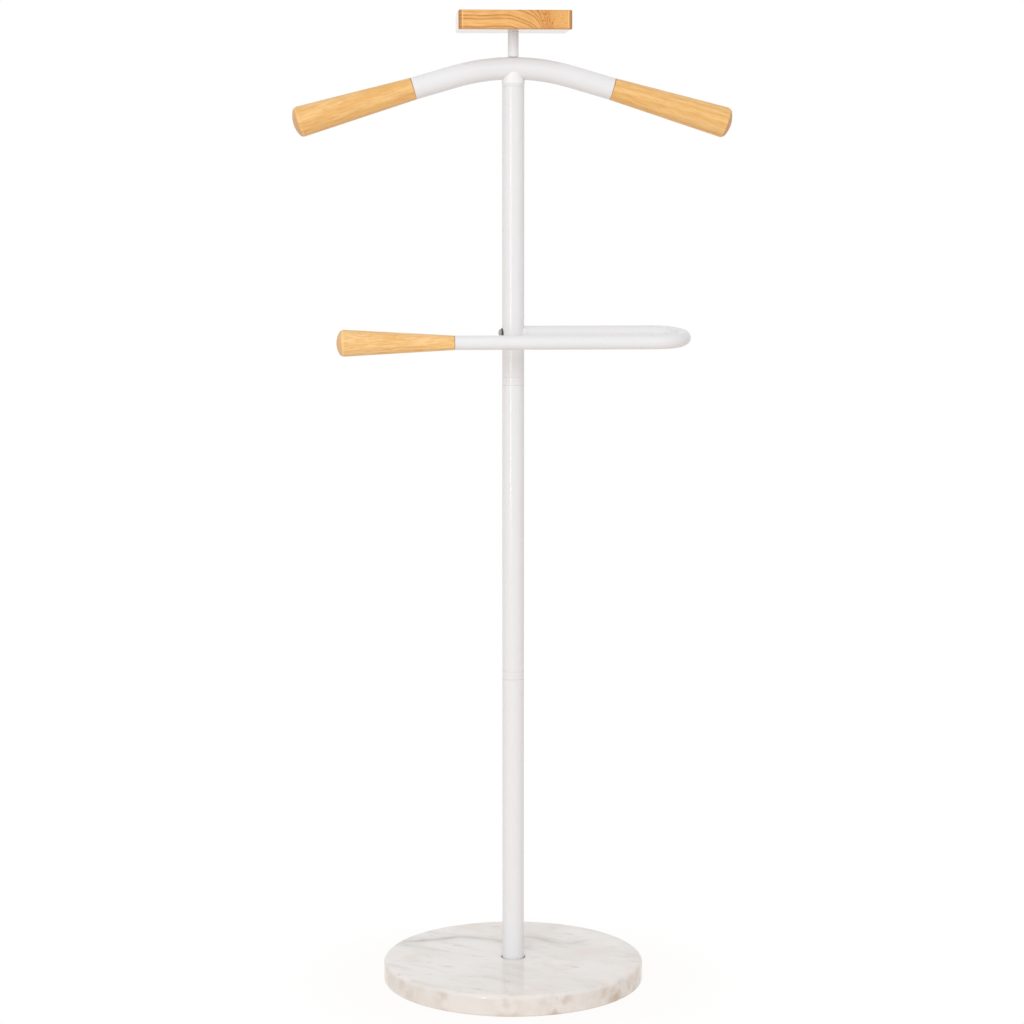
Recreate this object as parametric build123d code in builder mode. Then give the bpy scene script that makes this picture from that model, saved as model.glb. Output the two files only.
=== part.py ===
# Valet stand: a marble base, a three-section pole, a coat hanger, a trouser bar and a valet tray.
# Millimetres. The pole stands on the Z axis, the floor is z = 0 and the stand faces -Y.

import os
from math import asin, cos, radians, sin

from build123d import *

os.makedirs("parts", exist_ok=True)

# Clearances, measured on the radius
press_clearance = 0.05
thread_clearance = 0.05
running_clearance = 0.08
hole_clearance = 0.3
cope_clearance = 0.05
seat_clearance = 0.05

# Straight rim under the dome of every button head
screw_head_rim = 0.7

# Base: marble disc on a foam ring, with a shallow socket for the pole
base_diameter = 300.0
base_thickness = 25.0
base_top_round = 5.0
base_bottom_round = 3.0
pad_thickness = 1.5
pad_margin = 7.0
pad_bore_margin = 4.0
socket_depth = 6.0
socket_gap = 0.9
socket_chamfer = 1.2

# Bolt that pulls the pole down on the marble
base_bolt_diameter = 10.0
base_bolt_head_flats = 16.0
base_bolt_head_height = 6.4
base_bolt_engagement = 18.0
base_washer_diameter = 28.0
base_washer_thickness = 2.0
base_recess_gap = 2.0
base_head_cover = 0.6

# Pole: three tubes, closed by pressed-in inserts whose flanges show as bands
pole_diameter = 25.0
tube_wall = 1.2
lower_tube_length = 334.5
middle_tube_length = 328.0
upper_tube_length = 324.2
insert_length = 20.0
joint_flange_height = 4.7
flange_chamfer = 0.5
seam_chamfer = 0.15
joint_stud_diameter = 10.0
joint_stud_length = 40.0
top_flange_height = 3.0

# Coat hanger: a bent tube of the pole's diameter, clamped on a coped saddle
hanger_slope = 16.2
hanger_bend_radius = 235.0
hanger_arm_length = 47.5
saddle_diameter = 26.0
saddle_lip_diameter = 24.0
saddle_neck = 4.7
saddle_wrap = 8.2
saddle_round = 0.8
top_stud_diameter = 6.0
top_stud_plug_engagement = 14.0
top_stud_post_engagement = 9.0

# Turned wooden shoulders of the hanger
shoulder_length = 139.5
shoulder_end_diameter = 34.6
shoulder_dome_height = 5.3
shoulder_tenon_length = 30.0
handle_edge_round = 6.2

# Trouser bar: a U-bent tube that tilts about one bolt through the pole
bar_diameter = 16.0
bar_wall = 1.2
bar_leg_spacing = 66.0
bar_reach = 189.5
bar_front_reach = 68.5
bar_height_above_joint = 49.5
bar_droop = 6.2
bar_spacer_thickness = 3.0
bar_insert_length = 18.0
bar_bolt_diameter = 5.0
bar_bolt_engagement = 15.0
bar_bolt_head_diameter = 8.6
bar_bolt_head_height = 3.3
bar_bolt_key_flats = 3.0
bar_bolt_key_depth = 2.0
bar_washer_diameter = 11.2
bar_washer_thickness = 0.8

# Turned wooden handle of the trouser bar
grip_length = 130.5
grip_end_diameter = 30.0
grip_dome_height = 5.4
grip_tenon_length = 25.0

# Valet tray: a steel tray with a wooden front, screwed to the top of a slim post
post_diameter = 12.0
post_length = 28.2
bore_end_gap = 1.0
tray_width = 125.0
tray_depth = 88.0
tray_height = 20.8
tray_wall = 1.2
tray_inner_corner_radius = 1.6
tray_inner_bend_radius = 0.8
tray_front_thickness = 10.0
tray_front_corner_radius = 3.0
tray_front_edge_round = 1.0
tray_screw_diameter = 6.0
tray_screw_engagement = 9.0
tray_screw_head_diameter = 12.0
tray_screw_head_height = 3.4
tray_screw_key_flats = 4.0
tray_screw_key_depth = 2.2
tray_washer_diameter = 18.0
tray_washer_thickness = 1.2
front_screw_diameter = 3.5
front_screw_engagement = 7.0
front_screw_head_diameter = 7.0
front_screw_head_height = 2.2
front_screw_key_flats = 2.0
front_screw_key_depth = 1.2
front_screw_spacing = 80.0

# Heights of the stack, from the floor up
base_top = pad_thickness + base_thickness
lower_tube_bottom = base_top - socket_depth
lower_tube_top = lower_tube_bottom + lower_tube_length
lower_seam = lower_tube_top + joint_flange_height
middle_tube_bottom = lower_seam + joint_flange_height
middle_tube_top = middle_tube_bottom + middle_tube_length
upper_seam = middle_tube_top + joint_flange_height
upper_tube_bottom = upper_seam + joint_flange_height
upper_tube_top = upper_tube_bottom + upper_tube_length
saddle_bottom = upper_tube_top + top_flange_height
hanger_bottom = saddle_bottom + saddle_neck
hanger_axis_height = hanger_bottom + pole_diameter / 2
hanger_top = hanger_axis_height + pole_diameter / 2
post_bottom = hanger_top + seat_clearance
tray_bottom = post_bottom + post_length
tray_floor = tray_bottom + tray_wall
bar_axis_height = upper_tube_bottom + bar_height_above_joint

# Radii that several pieces share
pole_radius = pole_diameter / 2
tube_bore_radius = pole_radius - tube_wall
insert_radius = tube_bore_radius - press_clearance
bar_radius = bar_diameter / 2
bar_bore_radius = bar_radius - bar_wall
stud_hole_radius = top_stud_diameter / 2 + running_clearance
bar_bolt_hole_radius = bar_bolt_diameter / 2 + hole_clearance


def finish(piece, name):
    """Label a finished piece and write it to its own file."""
    piece.part.label = name
    export_step(piece.part, f"parts/{name}.step")


def button_head_screw(seat, head_diameter, head_height, key_flats, key_depth, diameter, length):
    """A domed screw. Its head stands on the seat plane, its shank goes down from there."""
    with BuildPart() as screw:
        with BuildSketch(seat):
            Circle(head_diameter / 2)
        extrude(amount=head_height)
        top_edge = screw.edges().filter_by(GeomType.CIRCLE).sort_by(Axis(seat.origin, seat.z_dir))[-1]
        fillet(top_edge, head_height - screw_head_rim)
        with BuildSketch(seat.offset(head_height)):
            RegularPolygon(key_flats / 2, side_count=6, major_radius=False)
        extrude(amount=-key_depth, mode=Mode.SUBTRACT)
        with BuildSketch(seat):
            Circle(diameter / 2)
        extrude(amount=-length)
    return screw


def pole_tube(bottom, length):
    """One section of the pole, open at both ends."""
    with BuildPart() as tube:
        with BuildSketch(Plane.XY.offset(bottom)):
            Circle(pole_radius)
            Circle(tube_bore_radius, mode=Mode.SUBTRACT)
        extrude(amount=length)
    return tube


def flanged_insert(tube_end, flange_height, bore_radius):
    """An insert pressed into a tube end. The plane is the tube's end face, facing out of the tube."""
    with BuildPart() as insert:
        with BuildSketch(tube_end):
            Circle(pole_radius)
        extrude(amount=flange_height)
        outwards = Axis(tube_end.origin, tube_end.z_dir)
        chamfer(insert.edges().sort_by(outwards)[0], flange_chamfer)
        chamfer(insert.edges().sort_by(outwards)[-1], seam_chamfer)
        with BuildSketch(tube_end):
            Circle(insert_radius)
        extrude(amount=-insert_length)
        with BuildSketch(tube_end.offset(flange_height)):
            Circle(bore_radius)
        extrude(amount=-(flange_height + insert_length), mode=Mode.SUBTRACT)
    return insert


def turned_handle(shoulder, neck_radius, tenon_radius, tenon_length, length, end_radius, dome_height):
    """A tapered, dome-ended wooden handle, turned about the plane's x axis, with a glued tenon."""
    dome_start = length - dome_height
    dome_radius = (end_radius**2 + dome_height**2) / (2 * dome_height)
    half_angle = asin(end_radius / dome_radius) / 2
    dome_middle = (length - dome_radius * (1 - cos(half_angle)), dome_radius * sin(half_angle))
    with BuildPart() as handle:
        with BuildSketch(shoulder) as profile:
            with BuildLine():
                Polyline(
                    (length, 0),
                    (-tenon_length, 0),
                    (-tenon_length, tenon_radius),
                    (0, tenon_radius),
                    (0, neck_radius),
                    (dome_start, end_radius),
                )
                ThreePointArc((dome_start, end_radius), dome_middle, (length, 0))
            make_face()
            fillet(profile.vertices().sort_by_distance((dome_start, end_radius))[0], handle_edge_round)
        revolve(axis=Axis(shoulder.origin, shoulder.x_dir))
    return handle


# Base: foam ring, marble disc, and the bolt and washer in the recess under the pole
recess_radius = base_washer_diameter / 2 + base_recess_gap
recess_depth = base_head_cover + base_bolt_head_height + base_washer_thickness
recess_top = pad_thickness + recess_depth
base_bolt_seat = recess_top - base_washer_thickness

with BuildPart() as base_pad:
    with BuildSketch():
        Circle(base_diameter / 2 - pad_margin)
        Circle(recess_radius + pad_bore_margin, mode=Mode.SUBTRACT)
    extrude(amount=pad_thickness)
finish(base_pad, "base_pad")

with BuildPart() as marble_base:
    with BuildSketch(Plane.XY.offset(pad_thickness)):
        Circle(base_diameter / 2)
    extrude(amount=base_thickness)
    fillet(marble_base.edges().group_by(Axis.Z)[-1], base_top_round)
    fillet(marble_base.edges().group_by(Axis.Z)[0], base_bottom_round)
    with Locations((0, 0, base_top)):
        CounterBoreHole(
            radius=base_bolt_diameter / 2 + hole_clearance,
            counter_bore_radius=pole_radius + socket_gap,
            counter_bore_depth=socket_depth,
        )
    chamfer(marble_base.edges().group_by(Axis.Z)[-1].sort_by(SortBy.RADIUS)[0], socket_chamfer)
    with BuildSketch(Plane.XY.offset(pad_thickness)):
        Circle(recess_radius)
    extrude(amount=recess_depth, mode=Mode.SUBTRACT)
finish(marble_base, "marble_base")

with BuildPart() as base_washer:
    with BuildSketch(Plane.XY.offset(base_bolt_seat)):
        Circle(base_washer_diameter / 2)
        Circle(base_bolt_diameter / 2 + hole_clearance, mode=Mode.SUBTRACT)
    extrude(amount=base_washer_thickness)
finish(base_washer, "base_washer")

with BuildPart() as base_bolt:
    with BuildSketch(Plane.XY.offset(base_bolt_seat)):
        RegularPolygon(base_bolt_head_flats / 2, side_count=6, major_radius=False)
    extrude(amount=-base_bolt_head_height)
    with BuildSketch(Plane.XY.offset(base_bolt_seat)):
        Circle(base_bolt_diameter / 2)
    extrude(amount=lower_tube_bottom + base_bolt_engagement - base_bolt_seat)
finish(base_bolt, "base_bolt")

with BuildPart() as foot_insert:
    with BuildSketch(Plane.XY.offset(lower_tube_bottom)):
        Circle(insert_radius)
        Circle(base_bolt_diameter / 2 + thread_clearance, mode=Mode.SUBTRACT)
    extrude(amount=insert_length)
finish(foot_insert, "foot_insert")

# Pole: three tubes, with a pair of flanged inserts and a stud at each joint
finish(pole_tube(lower_tube_bottom, lower_tube_length), "lower_pole_tube")
finish(pole_tube(middle_tube_bottom, middle_tube_length), "middle_pole_tube")

with BuildPart() as upper_pole_tube:
    with BuildSketch(Plane.XY.offset(upper_tube_bottom)):
        Circle(pole_radius)
        Circle(tube_bore_radius, mode=Mode.SUBTRACT)
    extrude(amount=upper_tube_length)
    with BuildSketch(Plane.YZ):
        with Locations((0, bar_axis_height)):
            Circle(bar_bolt_hole_radius)
    extrude(amount=pole_diameter, both=True, mode=Mode.SUBTRACT)
finish(upper_pole_tube, "upper_pole_tube")

joint_bore_radius = joint_stud_diameter / 2 + thread_clearance
pole_joints = {
    "lower_joint": (lower_tube_top, lower_seam, middle_tube_bottom),
    "upper_joint": (middle_tube_top, upper_seam, upper_tube_bottom),
}
for joint_name, (tube_below, seam, tube_above) in pole_joints.items():
    facing_up = Plane.XY.offset(tube_below)
    facing_down = Plane(origin=(0, 0, tube_above), z_dir=(0, 0, -1))
    lower_insert = flanged_insert(facing_up, joint_flange_height, joint_bore_radius)
    finish(lower_insert, f"{joint_name}_lower_insert")
    upper_insert = flanged_insert(facing_down, joint_flange_height, joint_bore_radius)
    finish(upper_insert, f"{joint_name}_upper_insert")
    with BuildPart() as joint_stud:
        with BuildSketch(Plane.XY.offset(seam - joint_stud_length / 2)):
            Circle(joint_stud_diameter / 2)
        extrude(amount=joint_stud_length)
    finish(joint_stud, f"{joint_name}_stud")

plug_bore_radius = top_stud_diameter / 2 + thread_clearance
pole_top_plug = flanged_insert(Plane.XY.offset(upper_tube_top), top_flange_height, plug_bore_radius)
finish(pole_top_plug, "pole_top_plug")

# Stud that clamps the hanger between the plug and the tray post
with BuildPart() as top_stud:
    with BuildSketch(Plane.XY.offset(saddle_bottom - top_stud_plug_engagement)):
        Circle(top_stud_diameter / 2)
    extrude(amount=top_stud_plug_engagement + post_bottom + top_stud_post_engagement - saddle_bottom)
finish(top_stud, "top_stud")

# Hanger: the tube bends over the pole and runs out in two straight arms
slope = radians(hanger_slope)
bend_half_width = hanger_bend_radius * sin(slope)
bend_drop = hanger_bend_radius * (1 - cos(slope))
arm_start = Vector(bend_half_width, hanger_axis_height - bend_drop)
arm_end = arm_start + Vector(cos(slope), -sin(slope)) * hanger_arm_length

with BuildPart() as hanger_tube:
    with BuildLine(Plane.XZ) as hanger_line:
        Line((-arm_end.X, arm_end.Y), (-arm_start.X, arm_start.Y))
        ThreePointArc((-arm_start.X, arm_start.Y), (0, hanger_axis_height), (arm_start.X, arm_start.Y))
        Line((arm_start.X, arm_start.Y), (arm_end.X, arm_end.Y))
    with BuildSketch(Plane(origin=hanger_line.line @ 0, z_dir=hanger_line.line % 0)):
        Circle(pole_radius)
        Circle(tube_bore_radius, mode=Mode.SUBTRACT)
    sweep()
    with BuildSketch(Plane.XY.offset(hanger_bottom - pole_radius)):
        Circle(top_stud_diameter / 2 + hole_clearance)
    extrude(amount=2 * pole_diameter, mode=Mode.SUBTRACT)
finish(hanger_tube, "hanger_tube")

with BuildPart() as hanger_saddle:
    with BuildSketch(Plane.XY.offset(saddle_bottom)):
        Circle(saddle_diameter / 2)
    extrude(amount=saddle_neck)
    fillet(hanger_saddle.edges().group_by(Axis.Z)[0], saddle_round)
    with BuildSketch(Plane.XY.offset(saddle_bottom + saddle_neck)):
        Circle(saddle_lip_diameter / 2)
    extrude(amount=saddle_wrap)
    with BuildLine(Plane.XZ) as cope_line:
        ThreePointArc((-arm_start.X, arm_start.Y), (0, hanger_axis_height), (arm_start.X, arm_start.Y))
    with BuildSketch(Plane(origin=cope_line.line @ 0, z_dir=cope_line.line % 0)):
        Circle(pole_radius + cope_clearance)
    sweep(mode=Mode.SUBTRACT)
    with BuildSketch(Plane.XY.offset(saddle_bottom)):
        Circle(stud_hole_radius)
    extrude(amount=saddle_neck + saddle_wrap, mode=Mode.SUBTRACT)
finish(hanger_saddle, "hanger_saddle")

for side, side_name in ((-1, "left"), (1, "right")):
    arm_plane = Plane(
        origin=(side * arm_end.X, 0, arm_end.Y),
        x_dir=(side * cos(slope), 0, -sin(slope)),
        z_dir=(0, -side, 0),
    )
    hanger_handle = turned_handle(
        arm_plane,
        pole_radius,
        insert_radius,
        shoulder_tenon_length,
        shoulder_length,
        shoulder_end_diameter / 2,
        shoulder_dome_height,
    )
    finish(hanger_handle, f"{side_name}_hanger_handle")

# Trouser bar: its plane tips forward about the bolt axis, which runs along X through the pole
droop = radians(bar_droop)
bar_plane = Plane(origin=(0, 0, bar_axis_height), x_dir=(1, 0, 0), z_dir=(0, -sin(droop), cos(droop)))
bar_end = pole_radius + bar_spacer_thickness
bar_bend_radius = bar_leg_spacing / 2
bar_bend_start = bar_reach - bar_bend_radius

with BuildPart() as trouser_bar_tube:
    with BuildLine(bar_plane) as bar_line:
        Line((bar_end, 0), (bar_bend_start, 0))
        bar_bend_end = (bar_bend_start, -bar_leg_spacing)
        ThreePointArc((bar_bend_start, 0), (bar_reach, -bar_bend_radius), bar_bend_end)
        Line(bar_bend_end, (-bar_front_reach, -bar_leg_spacing))
    with BuildSketch(Plane(origin=bar_line.line @ 0, z_dir=bar_line.line % 0)):
        Circle(bar_radius)
        Circle(bar_bore_radius, mode=Mode.SUBTRACT)
    sweep()
finish(trouser_bar_tube, "trouser_bar_tube")

grip_origin = bar_plane.from_local_coords(Vector(-bar_front_reach, -bar_leg_spacing, 0))
trouser_bar_handle = turned_handle(
    Plane(origin=grip_origin, x_dir=(-1, 0, 0), z_dir=(0, 1, 0)),
    bar_radius,
    bar_bore_radius - press_clearance,
    grip_tenon_length,
    grip_length,
    grip_end_diameter / 2,
    grip_dome_height,
)
finish(trouser_bar_handle, "trouser_bar_handle")

bolt_plane = Plane(origin=(0, 0, bar_axis_height), x_dir=(0, 1, 0), z_dir=(1, 0, 0))

with BuildPart() as bar_insert:
    with BuildSketch(bolt_plane.offset(bar_end)):
        Circle(bar_bore_radius - press_clearance)
        Circle(bar_bolt_diameter / 2 + running_clearance, mode=Mode.SUBTRACT)
    extrude(amount=bar_insert_length)
finish(bar_insert, "bar_insert")

with BuildPart() as bar_spacer:
    with BuildSketch(bolt_plane):
        Circle(bar_radius)
        Circle(bar_bolt_hole_radius, mode=Mode.SUBTRACT)
    extrude(amount=bar_end)
    with Locations((0, 0, bar_axis_height)):
        Cylinder(pole_radius + cope_clearance, 2 * bar_diameter, mode=Mode.SUBTRACT)
finish(bar_spacer, "bar_spacer")

washer_face = pole_radius + bar_washer_thickness
with BuildPart() as bar_bolt_washer:
    with BuildSketch(bolt_plane):
        Circle(bar_washer_diameter / 2)
        Circle(bar_bolt_hole_radius, mode=Mode.SUBTRACT)
    extrude(amount=-washer_face)
    with Locations((0, 0, bar_axis_height)):
        Cylinder(pole_radius + cope_clearance, 2 * bar_washer_diameter, mode=Mode.SUBTRACT)
finish(bar_bolt_washer, "bar_bolt_washer")

bar_bolt = button_head_screw(
    Plane(origin=(-washer_face, 0, bar_axis_height), x_dir=(0, 1, 0), z_dir=(-1, 0, 0)),
    bar_bolt_head_diameter,
    bar_bolt_head_height,
    bar_bolt_key_flats,
    bar_bolt_key_depth,
    bar_bolt_diameter,
    washer_face + bar_end + bar_bolt_engagement,
)
finish(bar_bolt, "bar_bolt")

# Post: a turned rod with a threaded bore in each end
with BuildPart() as tray_post:
    with BuildSketch(Plane.XY.offset(post_bottom)):
        Circle(post_diameter / 2)
    extrude(amount=post_length)
    with BuildSketch(Plane.XY.offset(post_bottom)):
        Circle(top_stud_diameter / 2 + thread_clearance)
    extrude(amount=top_stud_post_engagement + bore_end_gap, mode=Mode.SUBTRACT)
    with BuildSketch(Plane.XY.offset(tray_bottom)):
        Circle(tray_screw_diameter / 2 + thread_clearance)
    extrude(amount=-(tray_screw_engagement + bore_end_gap), mode=Mode.SUBTRACT)
finish(tray_post, "tray_post")

# Tray: the shell is behind, the wooden front is screwed on from inside the shell
tray_front_back = tray_front_thickness - tray_depth / 2
shell_depth = tray_depth - tray_front_thickness
front_screw_height = tray_floor + (tray_height - tray_wall) / 2
front_screw_places = [(side * front_screw_spacing / 2, front_screw_height) for side in (-1, 1)]

with BuildPart() as tray_shell:
    with BuildSketch(Plane.XY.offset(tray_bottom)) as shell_outline:
        with Locations((0, tray_front_back + shell_depth / 2)):
            Rectangle(tray_width, shell_depth)
        fillet(shell_outline.vertices().group_by(Axis.Y)[-1], tray_inner_corner_radius + tray_wall)
    extrude(amount=tray_height)
    bottom_edges = tray_shell.edges().group_by(Axis.Z)[0].sort_by(Axis.Y)
    fillet(bottom_edges[1:], tray_inner_bend_radius + tray_wall)
    offset(amount=-tray_wall, openings=tray_shell.faces().sort_by(Axis.Z)[-1])
    with BuildSketch(Plane.XY.offset(tray_bottom)):
        Circle(tray_screw_diameter / 2 + running_clearance)
    extrude(amount=tray_wall, mode=Mode.SUBTRACT)
    with BuildSketch(Plane(origin=(0, tray_front_back, 0), x_dir=(1, 0, 0), z_dir=(0, -1, 0))):
        with Locations(*front_screw_places):
            Circle(front_screw_diameter / 2 + hole_clearance)
    extrude(amount=-tray_wall, mode=Mode.SUBTRACT)
finish(tray_shell, "tray_shell")

with BuildPart() as tray_front:
    with BuildSketch(Plane.XY.offset(tray_bottom)):
        with Locations((0, (tray_front_back - tray_depth / 2) / 2)):
            Rectangle(tray_width, tray_front_thickness)
    extrude(amount=tray_height)
    front_face = tray_front.faces().sort_by(Axis.Y)[0]
    fillet(front_face.edges().filter_by(Axis.Z), tray_front_corner_radius)
    fillet(tray_front.faces().sort_by(Axis.Y)[0].edges().filter_by(Axis.X), tray_front_edge_round)
    with BuildSketch(Plane(origin=(0, tray_front_back, 0), x_dir=(1, 0, 0), z_dir=(0, -1, 0))):
        with Locations(*front_screw_places):
            Circle(front_screw_diameter / 2 + thread_clearance)
    extrude(amount=front_screw_engagement + bore_end_gap, mode=Mode.SUBTRACT)
finish(tray_front, "tray_front")

with BuildPart() as tray_front_screws:
    for place_x, place_z in front_screw_places:
        screw = button_head_screw(
            Plane(origin=(place_x, tray_front_back + tray_wall, place_z), x_dir=(1, 0, 0), z_dir=(0, 1, 0)),
            front_screw_head_diameter,
            front_screw_head_height,
            front_screw_key_flats,
            front_screw_key_depth,
            front_screw_diameter,
            tray_wall + front_screw_engagement,
        )
        add(screw.part)
finish(tray_front_screws, "tray_front_screws")

with BuildPart() as tray_washer:
    with BuildSketch(Plane.XY.offset(tray_floor)):
        Circle(tray_washer_diameter / 2)
        Circle(tray_screw_diameter / 2 + hole_clearance, mode=Mode.SUBTRACT)
    extrude(amount=tray_washer_thickness)
finish(tray_washer, "tray_washer")

tray_screw = button_head_screw(
    Plane.XY.offset(tray_floor + tray_washer_thickness),
    tray_screw_head_diameter,
    tray_screw_head_height,
    tray_screw_key_flats,
    tray_screw_key_depth,
    tray_screw_diameter,
    tray_washer_thickness + tray_wall + tray_screw_engagement,
)
finish(tray_screw, "tray_screw")
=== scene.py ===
# %% [markdown]
# # A valet stand, dressed around its CAD model
#
# The stand is a round marble base, a white pole in three lengths, a coat hanger with turned wooden
# shoulders, a U-shaped trouser rail that tilts about one bolt, and a small tray with a wooden front.
# The CAD model already holds every piece at its real size and place. This lesson gives those pieces
# the soft edges, the finishes and the light that the eye expects. Run the cells in order: each one
# prints what it made or measured.

# %% Load the CAD model
from math import asin, cos, pi, radians, sin, tan

import bmesh
import bpy
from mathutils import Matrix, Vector


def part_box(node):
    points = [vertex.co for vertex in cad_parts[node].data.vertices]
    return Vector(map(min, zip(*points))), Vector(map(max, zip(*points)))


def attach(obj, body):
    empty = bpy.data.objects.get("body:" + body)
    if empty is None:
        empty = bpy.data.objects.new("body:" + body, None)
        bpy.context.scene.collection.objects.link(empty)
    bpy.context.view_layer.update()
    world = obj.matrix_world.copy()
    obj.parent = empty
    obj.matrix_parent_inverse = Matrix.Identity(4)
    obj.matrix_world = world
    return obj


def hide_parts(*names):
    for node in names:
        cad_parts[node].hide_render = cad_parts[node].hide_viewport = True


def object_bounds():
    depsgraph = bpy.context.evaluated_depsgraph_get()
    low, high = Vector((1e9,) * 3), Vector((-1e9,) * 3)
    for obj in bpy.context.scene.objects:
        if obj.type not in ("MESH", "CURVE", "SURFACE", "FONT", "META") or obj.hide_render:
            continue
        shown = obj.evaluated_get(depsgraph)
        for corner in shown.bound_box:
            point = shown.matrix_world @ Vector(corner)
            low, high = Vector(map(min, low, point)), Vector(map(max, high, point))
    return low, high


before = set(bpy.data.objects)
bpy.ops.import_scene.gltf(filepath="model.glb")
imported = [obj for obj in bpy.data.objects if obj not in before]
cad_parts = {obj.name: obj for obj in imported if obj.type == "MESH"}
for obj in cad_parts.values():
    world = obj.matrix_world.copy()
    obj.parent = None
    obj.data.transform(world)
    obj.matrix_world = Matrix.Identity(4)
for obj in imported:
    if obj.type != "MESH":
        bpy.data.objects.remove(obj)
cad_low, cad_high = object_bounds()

MM = 0.001
RIGHT = Vector((1, 0, 0))
BACK = Vector((0, 1, 0))
UP = Vector((0, 0, 1))
bpy.ops.object.select_all(action="DESELECT")
print("CAD size in mm:", [round(side / MM, 1) for side in cad_high - cad_low])

# %% [markdown]
# ## Place the camera
#
# The photograph was taken from a little left of the front, at about chest height, with a long lens
# that looks slightly down. A camera is set by where it stands, what it looks at and its focal length.
# Here the focal length is given in pixels of a 1024-pixel picture, because that is how it was measured,
# and turned into the millimetres that Blender wants. A camera looks along its own -Z, so that axis is
# turned to face the aim.

# %% Camera
picture_width = 1024
focal_pixels = 2634.0
sensor_width = 36.0
camera_distance = 2.977
camera_height = 0.9186
camera_turn = radians(-3.5)
camera_pitch = radians(7.108)
aim_x = -1.36 * MM


def facing(direction, axis="Z"):
    """The rotation that turns an object's own axis along a direction."""
    return direction.to_track_quat(axis, "Y").to_euler()


camera_place = Vector((sin(camera_turn), -cos(camera_turn), 0)) * camera_distance
camera_place.z = camera_height
camera_aim = Vector((aim_x, 0, camera_height - camera_distance * tan(camera_pitch)))
bpy.ops.object.camera_add(location=camera_place, rotation=facing(camera_aim - camera_place, "-Z"))
camera = bpy.context.object
camera.data.sensor_width = sensor_width
camera.data.lens = focal_pixels / picture_width * sensor_width
bpy.context.scene.camera = camera
bpy.context.scene.view_settings.view_transform = "Standard"
print(f"camera: {camera.data.lens:.1f} mm lens, aimed at {camera_aim.z:.3f} m above the floor")

# %% [markdown]
# ## Write colours and nodes in one way
#
# A colour picked on a screen is an sRGB hex value, while a shader counts light in linear values, so one
# function turns the first into the second. A second small function adds any node: its keyword arguments
# are the node's own settings, the dictionary sets or links its inputs by name or number, and it gives back
# one output to link further. Patterns are sized from the real thing, so a third function turns millimetres
# into a texture's scale. Two more do what nearly every material needs: they lay tints over a base colour,
# and let one fine grain vary the gloss and raise the surface.


# %% Colour and node helpers
# The Mix node's colour inputs and output, which share their names with its other types
MIX_FACTOR, MIX_A, MIX_B, MIX_RESULT = 0, 6, 7, 2
SMOOTH = {"interpolation_type": "SMOOTHSTEP"}


def linear(hex_colour):
    """An sRGB hex colour such as F0E0D0 as linear RGBA."""
    channels = [int(hex_colour[i : i + 2], 16) / 255 for i in (0, 2, 4)]
    return [c / 12.92 if c <= 0.04045 else ((c + 0.055) / 1.055) ** 2.4 for c in channels] + [1.0]


def add_node(tree, kind, inputs=None, output=0, stops=None, **settings):
    """Add a shader node with its settings, input values or links and ramp stops, and give one output."""
    node = tree.nodes.new("ShaderNode" + kind)
    for name, value in settings.items():
        setattr(node, name, value)
    for key, value in (inputs or {}).items():
        if isinstance(value, bpy.types.NodeSocket):
            tree.links.new(value, node.inputs[key])
        else:
            node.inputs[key].default_value = value
    if stops:
        for place, colour in stops[2:]:
            node.color_ramp.elements.new(place)
        for element, (place, colour) in zip(node.color_ramp.elements, stops):
            element.position = place
            element.color = colour
    return node.outputs[output] if node.outputs else None


def per_mm(size):
    """The texture scale at which one feature is about this many millimetres across."""
    return 1 / (size * MM)


def new_material(name, **numbers):
    """A material, its nodes, its shader with constant numbers set on it, and its object coordinates."""
    material = bpy.data.materials.new(name)
    material.use_nodes = True
    tree = material.node_tree
    shader = tree.nodes["Principled BSDF"]
    for socket, value in numbers.items():
        shader.inputs[socket].default_value = value
    return material, tree, shader, add_node(tree, "TexCoord", output="Object")


def tinted(tree, base, *tints):
    """Lay tints, each an amount and a hex colour, over a hex base colour one after another."""
    colour = linear(base)
    for amount, tint in tints:
        mix = {MIX_FACTOR: amount, MIX_A: colour, MIX_B: linear(tint)}
        colour = add_node(tree, "Mix", mix, output=MIX_RESULT, data_type="RGBA")
    return colour


def link_finish(tree, shader, colour, grain, rough, height):
    """Link a colour, and a grain that varies the roughness over a range and raises the surface by mm."""
    gloss = add_node(tree, "MapRange", {"Value": grain, "To Min": rough[0], "To Max": rough[1]})
    bump = add_node(tree, "Bump", {"Height": grain, "Distance": height * MM})
    tree.links.new(colour, shader.inputs["Base Color"])
    tree.links.new(gloss, shader.inputs["Roughness"])
    tree.links.new(bump, shader.inputs["Normal"])


print("white paper in linear light:", [round(c, 3) for c in linear("F0F0F0")])

# %% [markdown]
# ## Light it like a small product studio
#
# The real stand was shot against white. A large softbox hangs almost in front of it and well above the
# camera, so the tubes are brightest on their upper faces and turn darker underneath. Its light is a little
# cool, and an even world fills the shadows with a warmer white: in the photograph lit whites look neutral
# and shaded ones creamy. A weak second softbox stands low behind the stand, so that its back isn't grey
# when it is turned round. A thin strip lamp leaves one narrow streak on the pole. Together they light a
# face at about the level at which a colour looks as it is written. The background is white for the camera
# and for reflections only, so it adds no light. The softboxes are hidden from reflections, because their
# broad mirror images would drown the streak.

# %% World and lamps
fill_level = 0.715
front = {"turn": radians(-8), "height": 2.2, "distance": 3.4, "width": 2.6, "tall": 1.8, "power": 53}
rear = {"turn": radians(180), "height": 0.5, "distance": 3.4, "width": 2.6, "tall": 1.0, "power": 19}
strip = {"turn": radians(-29), "height": 0.65, "distance": 3.2, "width": 0.16, "tall": 1.1, "power": 9}


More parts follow.
